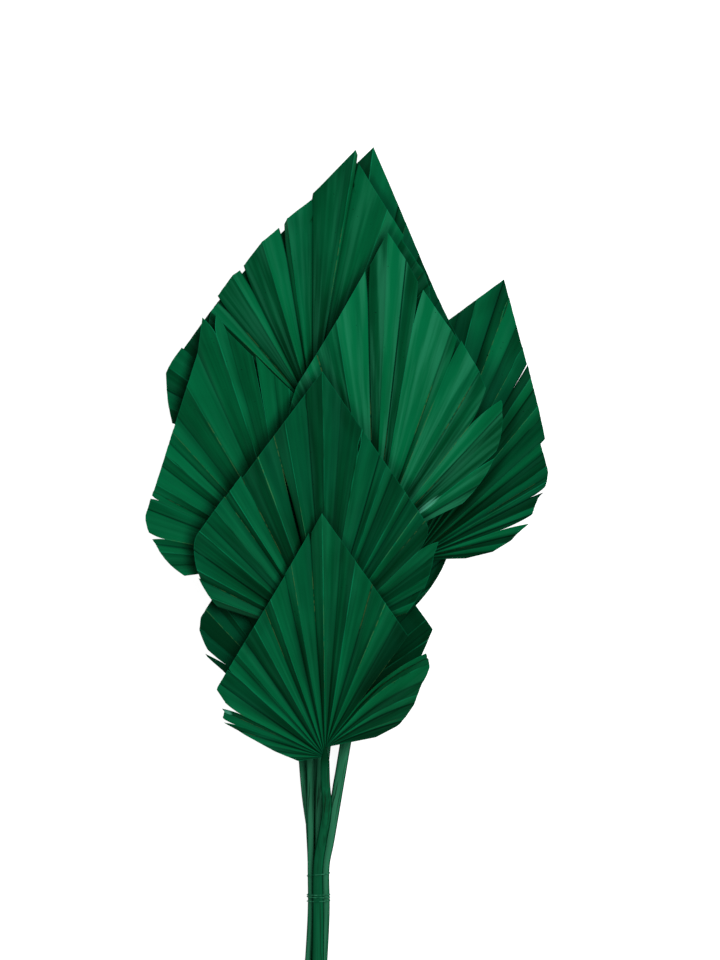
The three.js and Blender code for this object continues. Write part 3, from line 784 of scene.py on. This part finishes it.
DEEP_GREEN = (0.0002, 0.012, 0.0032, 1)
BRIGHT_GREEN = (0.0005, 0.068, 0.0215, 1)
PAINTED_SHADE_GREEN = (0.0001, 0.004, 0.001, 1)
RIDGE_GREEN = (0.002, 0.13, 0.054, 1)
MILKY_GREEN = (0.01, 0.11, 0.052, 1)
BARE_GREEN = (0.05, 0.24, 0.15, 1)
FIBRE_BROWN = (0.045, 0.085, 0.02, 1)
SPECK_GREEN = (0.001, 0.006, 0.002, 1)
SHEEN_TINT = (0.02, 1.0, 0.47, 1)
LEAF_SHEEN = 0.12

# The leaf's patterns: waves of each to a degree across the strips and to a millimetre along them.
BROAD_STREAKS = (0.5, 0.012)
FINE_STREAKS = (1.2, 0.015)
CLOUDS = (0.12, 0.03)
MILKY_FILM_AND_SHEEN = (0.4, 0.012)
RIDGE_WEAR = (0.8, 0.06)
FIBRE_BREAKS = (1, 0.3)
SPECKS = (1.2, 0.9)

# How much each of them, and each mark on the mesh, lightens or darkens the leaf.
CLOUD_TONE = 0.6
BROAD_TONE = 0.6
FINE_TONE = 0.45
STRIP_TONE = 0.14
ROOT_TONE = 0.08
PAINTED_SHADOW_TONE = 0.32
VALLEY_SHADE_TONE = 0.07
ROOT_VALLEY_SHADE_TONE = 0.28
PAINTED_LIGHT_TONE = 0.1
ROOT_PAINTED_LIGHT_TONE = 0.16
CREST_LIGHT_TONE = 0.05
ROOT_CREST_LIGHT_TONE = 0.16
TONE_RANGE = (-0.12, 1.12)

# Where each begins to show and where it shows in full: millimetres, or shares of a strip or a pattern.
NEAR_ROOT = (90, 15)
VALLEY_SHADE_REACH = (0.6, 0)
CREST_REACH = (0.3, 1)
FILM_AND_SHEEN_LEVEL = (0.42, 0.68)
VALLEY_LINE = (0.55, 0.3)
RIDGE_LINE = (0.4, 0.2)
WEAR_LEVEL = (0.28, 0.55)
EDGE_LINE = (0.8, 0.1)
BREAK_LEVEL = (0.38, 0.55)
SPECK_LEVEL = (0.83, 0.86)

# How strongly each covers the green below it.
VALLEY_STRENGTH = 0.85
RIDGE_STRENGTH = 0.6
ROOT_RIDGE_LOSS = 0.35
PAINTED_SHADOW_STRENGTH = 0.3
EDGE_STRENGTH = 0.15
FIBRE_STRENGTH = 0.55
SPECK_STRENGTH = 0.8
BARE_STRENGTH = 0.8
BARE_RAGGEDNESS = 3


def leaf_finish(spear):
    """Dyed dry leaf: fibre streaks from the root outwards, pale ridges that are partly worn dye and partly
    a painted highlight, painted shade in the valleys, near the root, under the spears above and under a
    lobe that is drawn away, painted light and shade on the two sides of each ridge and painted light on a
    lobe that turns up, milky streaks that are partly a painted sheen, bare brown fibres along some folds,
    specks, and a fine grain that breaks up a satin sheen."""
    finish = Finish("dyed_leaf_" + spear.name)
    bearing, from_root = finish.mark("bearing"), finish.mark("from_root")
    up_the_strip, sharpness = finish.mark("up_the_strip"), finish.mark("sharpness")
    painted_shadow = finish.mark("painted_shadow")

    def pattern(waves, layer, detail=2):
        return finish.noise(bearing * waves[0], from_root * waves[1], spear.seed + layer, detail)

    broad = pattern(BROAD_STREAKS, 0)
    fine = pattern(FINE_STREAKS, 20, detail=3)
    cloud = pattern(CLOUDS, 40)
    tone = 0.5 + (cloud - 0.5) * CLOUD_TONE + (broad - 0.5) * BROAD_TONE + (fine - 0.5) * FINE_TONE
    tone = tone + finish.mark("strip_tone") * (STRIP_TONE * spear.contrast) + spear.tone
    near_root = finish.step(from_root, *NEAR_ROOT)
    # Painted shade in the valleys, strongest near the root, and darker all over near the root.
    valley_shade = finish.step(up_the_strip, *VALLEY_SHADE_REACH) * (VALLEY_SHADE_TONE + near_root * ROOT_VALLEY_SHADE_TONE)
    # Painted shadow under the spears that lie above.
    tone = tone - valley_shade * spear.crease - painted_shadow * PAINTED_SHADOW_TONE - near_root * ROOT_TONE
    # Painted light and shade: strips on one side of each ridge lighter, on the other darker, more near the
    # root and towards the ridge.
    crest_light = finish.step(up_the_strip, *CREST_REACH) * sharpness
    painted_light = PAINTED_LIGHT_TONE * spear.contrast + near_root * ROOT_PAINTED_LIGHT_TONE
    painted_light = painted_light + crest_light * (CREST_LIGHT_TONE + near_root * ROOT_CREST_LIGHT_TONE)
    tone = tone + finish.mark("painted_lit_side") * painted_light
    colour = finish.mix(finish.step(tone, *TONE_RANGE), DEEP_GREEN, BRIGHT_GREEN)

    # Milky pale streaks: partly a pale layer on the leaf and partly a painted sheen.
    film_and_sheen = finish.step(pattern(MILKY_FILM_AND_SHEEN, 60, detail=3), *FILM_AND_SHEEN_LEVEL)
    colour = finish.mix(film_and_sheen * spear.milk, colour, MILKY_GREEN)
    # Painted shade: a thin dark line along each valley.
    valley = finish.step(finish.mark("from_valley"), *VALLEY_LINE) * sharpness
    colour = finish.mix(valley * min(VALLEY_STRENGTH * spear.crease, 1), colour, PAINTED_SHADE_GREEN)
    # Pale lines along the ridges in broken stretches: partly worn dye and partly a painted highlight.
    ridge = finish.step(finish.mark("from_ridge"), *RIDGE_LINE)
    worn = finish.step(pattern(RIDGE_WEAR, 80), *WEAR_LEVEL)
    ridge = ridge * worn * sharpness * (RIDGE_STRENGTH - near_root * ROOT_RIDGE_LOSS)
    colour = finish.mix(ridge, colour, RIDGE_GREEN)
    # Painted shadow, drawn towards the dark shade green.
    colour = finish.mix(painted_shadow * PAINTED_SHADOW_STRENGTH, colour, PAINTED_SHADE_GREEN)
    edge = finish.step(finish.mark("from_edge"), *EDGE_LINE)
    colour = finish.mix(edge * EDGE_STRENGTH, colour, RIDGE_GREEN)
    broken = finish.step(pattern(FIBRE_BREAKS, 100), *BREAK_LEVEL)
    colour = finish.mix(finish.mark("brown_line") * broken * FIBRE_STRENGTH, colour, FIBRE_BROWN)
    speck = finish.step(pattern(SPECKS, 120, detail=0), *SPECK_LEVEL)
    colour = finish.mix(speck * SPECK_STRENGTH, colour, SPECK_GREEN)
    if spear.pale_patch:
        turn, away, wide, long = spear.pale_patch
        across = (bearing - turn) * (1 / wide)
        along = (from_root - away) * (1 / long)
        bare = finish.step(across * across + along * along + (fine - 0.5) * BARE_RAGGEDNESS, 1, 0)
        colour = finish.mix(bare * BARE_STRENGTH, colour, BARE_GREEN)

    grain = finish.node("ShaderNodeBump", {}, {
        "Strength": 0.4, "Distance": 0.12 * MM, "Height": fine * 0.6 + broad * 0.4})
    return finish.surface(Base_Color=colour, Roughness=0.38 + fine * 0.22 + cloud * 0.08, Normal=grain,
                          Specular=LEAF_SHEEN, Specular_Tint=SHEEN_TINT)


STALK_DARK = (0.0003, 0.014, 0.0045, 1)
STALK_GREEN = (0.0012, 0.062, 0.023, 1)
STALK_GREY = (0.019, 0.118, 0.06, 1)
STALK_BROWN = (0.004, 0.012, 0.005, 1)
CUT_PALE = (0.19, 0.2, 0.09, 1)
CUT_DARK = (0.03, 0.07, 0.03, 1)

# The skin's patterns: streaks to a metre across, along and upwards, the others round and along the stalk.
SKIN_STREAKS = (380, 9, 380)
SKIN_FIBRES = (5, 0.03)
SKIN_RUBS = (0.7, 0.02)
SKIN_BRUISES = (2.9, 0.03)
STREAK_SHARE = 0.7
STREAK_RANGE = (0.2, 0.7)
TOP_PAINTED_LIGHT = 0.22
RUB_AND_LIGHT_LEVEL = (0.42, 0.8)
SIDE_SHADE_REACH = (0.66, 0.2)
SIDE_SHADE_STRENGTH = 0.95
BRUISE_LEVEL = (0.68, 0.72)
CRACK_SHARE = 0.5
CRACK_LEVEL = (0.86, 0.96)
CRACK_STRENGTH = 0.8
INTO_BLADE_RUN = (16, 6)
INTO_BLADE_STRENGTH = 0.8
PITH_FIBRES_PER_METRE = 2400
PITH_FIBRE_EDGE = (0.45, 0.2)


def stalk_finish():
    """Dyed stalk skin: long streaks, worn greyer in patches with a painted highlight along the top,
    painted shade down the sides and underneath, and a few brown bruises and cracks.
    """
    finish = Finish("dyed_stalk")
    on_top, to_side, along = finish.mark("on_top"), finish.mark("to_side"), finish.mark("from_root")

    def pattern(waves, start=0, detail=2, roughness=0.5):
        around, lengthwise = waves
        place = (on_top * around, to_side * around, start + along * lengthwise)
        return finish.noise(*place, detail, roughness)

    place = finish.node("ShaderNodeTexCoord", {}, {}, "Object")
    waves = finish.node("ShaderNodeVectorMath", {"operation": "MULTIPLY"}, {0: place, 1: SKIN_STREAKS})
    streak = finish.node("ShaderNodeTexNoise", {}, {"Vector": waves, "Scale": 1, "Detail": 3}, "Fac")
    fine = pattern(SKIN_FIBRES, detail=3, roughness=0.6)
    streaked = finish.step(streak * STREAK_SHARE + fine * (1 - STREAK_SHARE), *STREAK_RANGE)
    colour = finish.mix(streaked, STALK_DARK, STALK_GREEN)
    # Grey where the skin is worn in patches, and a painted highlight along the top of each stalk.
    rubbed_and_lit = finish.step(pattern(SKIN_RUBS) + on_top * TOP_PAINTED_LIGHT, *RUB_AND_LIGHT_LEVEL)
    colour = finish.mix(rubbed_and_lit * finish.mark("grey"), colour, STALK_GREY)
    # Painted shade down the sides and underneath each stalk, where it lies against the others.
    colour = finish.mix(finish.step(on_top, *SIDE_SHADE_REACH) * SIDE_SHADE_STRENGTH, colour, PAINTED_SHADE_GREEN)
    bruise = finish.step(pattern(SKIN_BRUISES, start=11, detail=1), *BRUISE_LEVEL)
    crack = finish.step(fine + finish.mark("cracked") * CRACK_SHARE, *CRACK_LEVEL)
    colour = finish.mix((bruise + crack) * CRACK_STRENGTH, colour, STALK_BROWN)
    into_blade = finish.step(finish.mark("from_edge"), *INTO_BLADE_RUN)
    colour = finish.mix(into_blade * INTO_BLADE_STRENGTH, colour, DEEP_GREEN)
    grain = finish.node("ShaderNodeBump", {}, {"Strength": 0.5, "Distance": 0.2 * MM, "Height": fine})
    return finish.surface(Base_Color=colour, Roughness=0.45 + fine * 0.2, Normal=grain, Specular=0)


def cut_end_finish():
    """The trimmed end of a stalk: pale pith with the dark ends of its fibres."""
    finish = Finish("cut_stalk_end")
    place = finish.node("ShaderNodeTexCoord", {}, {}, "Object")
    cells = {"Vector": place, "Scale": PITH_FIBRES_PER_METRE}
    dots = finish.step(finish.node("ShaderNodeTexVoronoi", {}, cells, "Distance"), *PITH_FIBRE_EDGE)
    return finish.surface(Base_Color=finish.mix(dots, CUT_PALE, CUT_DARK), Roughness=0.75 + dots * 0.1,
                          Specular=0.3)


def add_object(name, data):
    """A new object in the scene."""
    added = bpy.data.objects.new(name, data)
    bpy.context.scene.collection.objects.link(added)
    return added


def add_piece(name, points, faces, materials):
    """A new object in the row's frame from points in millimetres."""
    mesh = bpy.data.meshes.new(name)
    mesh.from_pydata(np.asarray(points) * MM + np.array(under_tie), [], faces, shade_flat=False)
    for material in materials:
        mesh.materials.append(material)
    return add_object(name, mesh)


def add_mark(mesh, name, kind, values):
    layer = mesh.attributes.new(name, "FLOAT", kind)
    layer.data.foreach_set("value", np.asarray(values, np.float32))


def dress_spear(spear, skin, cut_end):
    """One spear: its blade and stalk in one piece, marked for its finishes."""
    blade = blade_sheet(spear)
    stalk = stalk_tube(spear)
    first = len(blade["points"])
    stalk_faces = [tuple(int(i) + first for i in face) for face in stalk["faces"]]
    cut_faces = [tuple(int(i) + first for i in face) for face in stalk["cut_faces"]]
    piece = add_piece(spear.name + "_leaf", np.concatenate([blade["points"], stalk["points"]]),
                      blade["faces"].tolist() + stalk_faces + cut_faces,
                      [leaf_finish(spear), skin, cut_end])
    mesh = piece.data
    counts = (len(blade["faces"]), len(stalk_faces), len(cut_faces))
    mesh.polygons.foreach_set("material_index", np.repeat([0, 1, 2], counts).astype(np.int32))
    for name in {**blade["marks"], **stalk["marks"]}:
        on_blade = blade["marks"].get(name, np.zeros(first))
        on_stalk = stalk["marks"].get(name, np.zeros(len(stalk["points"])))
        add_mark(mesh, name, "POINT", np.concatenate([on_blade, on_stalk]))
    for name, mark in blade["face_marks"].items():
        add_mark(mesh, name, "FACE", np.concatenate([mark, np.zeros(counts[1] + counts[2])]))
    ends = np.zeros(len(mesh.edges) * 2, np.int64)
    mesh.edges.foreach_get("vertices", ends)
    total = len(mesh.vertices)
    is_sharp = np.isin(edge_keys(ends.reshape(-1, 2), total), edge_keys(blade["sharp"], total))
    layer = mesh.attributes.new("sharp_edge", "BOOLEAN", "EDGE")
    layer.data.foreach_set("value", is_sharp)
    return piece


stalk_skin, stalk_cut = stalk_finish(), cut_end_finish()
for spear in SPEARS:
    leaf = dress_spear(spear, stalk_skin, stalk_cut)
    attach(leaf, "root")
    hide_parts(spear.name)


# The elastic tie: one thin round cord of rubber, closed on itself and wound four times round the bound
# stalks. Three turns lie side by side and one higher up, and it changes over from turn to turn under them.
ELASTIC_DIAMETER = 0.42
ELASTIC_CLEARANCE = 0.03
ELASTIC_SIDES = 10
ELASTIC_STEPS_PER_TURN = 72
ELASTIC_TURN_Y = (-4.2, -2.4, -0.8, 11)
ELASTIC_SLANT = (0.5, -0.4, 0.3, 2)
ELASTIC_PHASE = 180
GIRTH_DIRECTIONS = 721
CHANGE_START = 0.12
CHANGE_RUN = 0.46
CROSSING_LIFT = 0.5
CROSSING_START = 0.14
CROSSING_RISE = 0.12
CROSSING_END = 0.5
CROSSING_FALL = 0.1
STRETCHED_SPOTS_PER_METRE = 260
STRETCH_LEVEL = (0.35, 0.65)
ELASTIC_DARK = (0.0015, 0.05, 0.02, 1)
ELASTIC_PALE = (0.025, 0.15, 0.08, 1)


def girth(distance):
    """Points across the stalks on a line drawn tight round them at a distance, at even steps, and the
    directions outwards at them."""
    places, outwards = [], []
    for angle in math.radians(ELASTIC_PHASE) + np.linspace(0, 2 * math.pi, GIRTH_DIRECTIONS):
        direction = np.array([math.cos(angle), math.sin(angle)])
        reaches = [np.dot(spear.stalk.tie, direction) + stalk_radius(spear, 0) for spear in SPEARS]
        outermost = SPEARS[np.argmax(reaches)]
        places.append(np.array(outermost.stalk.tie) + direction * (stalk_radius(outermost, 0) + distance))
        outwards.append(direction)
    places, outwards = np.array(places), np.array(outwards)
    length = np.concatenate([[0], np.cumsum(np.linalg.norm(np.diff(places, axis=0), axis=1))])
    even = np.arange(ELASTIC_STEPS_PER_TURN) / ELASTIC_STEPS_PER_TURN * length[-1]

    def evenly(part):
        return np.stack([np.interp(even, length, part[:, i]) for i in (0, 1)], axis=-1)

    return evenly(places), evenly(outwards)


def elastic_place(turns):
    """How far up the stalks the elastic is after so many turns, and how far it stands off them. Each turn
    runs under the stalks first, where it changes to its own height, and then over them. The first turn
    comes back from the last one and crosses the others on its way."""
    turn = int(turns)
    under = min(2 * (turns - turn), 1)
    over = max(2 * (turns - turn) - 1, 0)
    coming_from = ELASTIC_TURN_Y[turn - 1] - ELASTIC_SLANT[turn - 1]
    changed = smooth((under - CHANGE_START) / CHANGE_RUN)
    y = coming_from + (ELASTIC_TURN_Y[turn] - coming_from) * changed - ELASTIC_SLANT[turn] * over
    risen = smooth((under - CROSSING_START) / CROSSING_RISE)
    lifted = risen * (1 - smooth((under - CROSSING_END) / CROSSING_FALL))
    return y, CROSSING_LIFT * lifted * (turn == 0)


def elastic_cord():
    """Points and faces of the wound cord."""
    steps = len(ELASTIC_TURN_Y) * ELASTIC_STEPS_PER_TURN
    radius = ELASTIC_DIAMETER / 2
    girth_places, girth_outwards = girth(ELASTIC_CLEARANCE + radius)
    line, outwards = [], []
    for i in range(steps):
        y, stand_off = elastic_place(i / ELASTIC_STEPS_PER_TURN)
        direction = girth_outwards[i % ELASTIC_STEPS_PER_TURN]
        x, z = girth_places[i % ELASTIC_STEPS_PER_TURN] + direction * stand_off
        line.append((x, y, z))
        outwards.append((direction[0], 0, direction[1]))
    line = np.array(line)
    along = np.roll(line, -1, axis=0) - np.roll(line, 1, axis=0)
    side, up = tube_frames(along, np.array(outwards))
    turn = 2 * np.pi * np.arange(ELASTIC_SIDES) / ELASTIC_SIDES
    outline = side[:, None] * np.sin(turn)[:, None] + up[:, None] * np.cos(turn)[:, None]
    rings = line[:, None] + radius * outline
    grid = np.arange(steps * ELASTIC_SIDES).reshape(steps, ELASTIC_SIDES)
    grid = np.concatenate([grid, grid[:1]])
    grid = np.concatenate([grid, grid[:, :1]], axis=1)
    return rings.reshape(-1, 3), grid_faces(grid).tolist()


def elastic_finish():
    """Green rubber, paler and duller where it is stretched."""
    finish = Finish("green_elastic")
    place = finish.node("ShaderNodeTexCoord", {}, {}, "Object")
    spots = {"Vector": place, "Scale": STRETCHED_SPOTS_PER_METRE, "Detail": 2}
    stretch = finish.node("ShaderNodeTexNoise", {}, spots, "Fac")
    colour = finish.mix(finish.step(stretch, *STRETCH_LEVEL), ELASTIC_DARK, ELASTIC_PALE)
    return finish.surface(Base_Color=colour, Roughness=0.4 + stretch * 0.25, Specular=0)


cord_points, cord_faces = elastic_cord()
elastic = add_piece("elastic_cord", cord_points, cord_faces, [elastic_finish()])
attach(elastic, "root")
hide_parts("elastic_tie")


# The table and the studio light: a plain pale sheet under the bunch, which glows as an overlit backdrop
# does, a broad soft lamp to the upper right and even light from all round.
TABLE_SIZE = 14
TABLE_DROP = 0.4 * MM
TABLE_GREY = (0.3, 0.3, 0.3, 1)
TABLE_GLOW = (0.9, 0.9, 0.9, 1)
SKY_STRENGTH = 0.66
LAMP_SIZE = 0.8
LAMP_POWER = 30
LAMP_PLACE = Vector((0.42, 0.25, 1.55))

half_table = TABLE_SIZE / 2
table_mesh = bpy.data.meshes.new("table")
sides = ((-1, -1), (1, -1), (1, 1), (-1, 1))
table_corners = [(x * half_table, y * half_table, -TABLE_DROP) for x, y in sides]
table_mesh.from_pydata(table_corners, [], [(0, 1, 2, 3)])
table_finish = Finish("pale_table")
table_mesh.materials.append(table_finish.surface(
    Base_Color=TABLE_GREY, Roughness=0.9, Specular=0, Emission_Color=TABLE_GLOW, Emission_Strength=1))
table = add_object("table", table_mesh)

sky = bpy.data.worlds.new("soft_light")
sky.use_nodes = True
sky.node_tree.nodes["Background"].inputs["Color"].default_value = (1, 1, 1, 1)
sky.node_tree.nodes["Background"].inputs["Strength"].default_value = SKY_STRENGTH
bpy.context.scene.world = sky

lamp_light = bpy.data.lights.new("soft_lamp", "AREA")
lamp_light.shape = "DISK"
lamp_light.size = LAMP_SIZE
lamp_light.energy = LAMP_POWER
lamp = add_object("soft_lamp", lamp_light)
lamp.location = LAMP_PLACE
lamp.rotation_euler = (-LAMP_PLACE).to_track_quat("-Z", "Y").to_euler()
lamp.visible_camera = False
bpy.context.scene.view_settings.view_transform = "Standard"


# The camera: straight above the bunch, far off with a long lens, as the photograph sees it.
PICTURE_SIZE_PX = (720, 960)
TIE_PX = (318, 895)
MM_PER_PX = 0.55
SEEN_HEIGHT = 35
CAMERA_DISTANCE = 5000
SENSOR = 36

picture_middle = Vector(((PICTURE_SIZE_PX[0] / 2 - TIE_PX[0]) * MM_PER_PX,
                         (TIE_PX[1] - PICTURE_SIZE_PX[1] / 2) * MM_PER_PX, SEEN_HEIGHT + CAMERA_DISTANCE))
camera_data = bpy.data.cameras.new("camera")
camera_data.sensor_width = SENSOR
camera_data.lens = SENSOR * CAMERA_DISTANCE / (PICTURE_SIZE_PX[1] * MM_PER_PX)
camera_data.clip_end = 4 * CAMERA_DISTANCE * MM
camera = add_object("camera", camera_data)
camera.location = under_tie + picture_middle * MM
bpy.context.scene.camera = camera
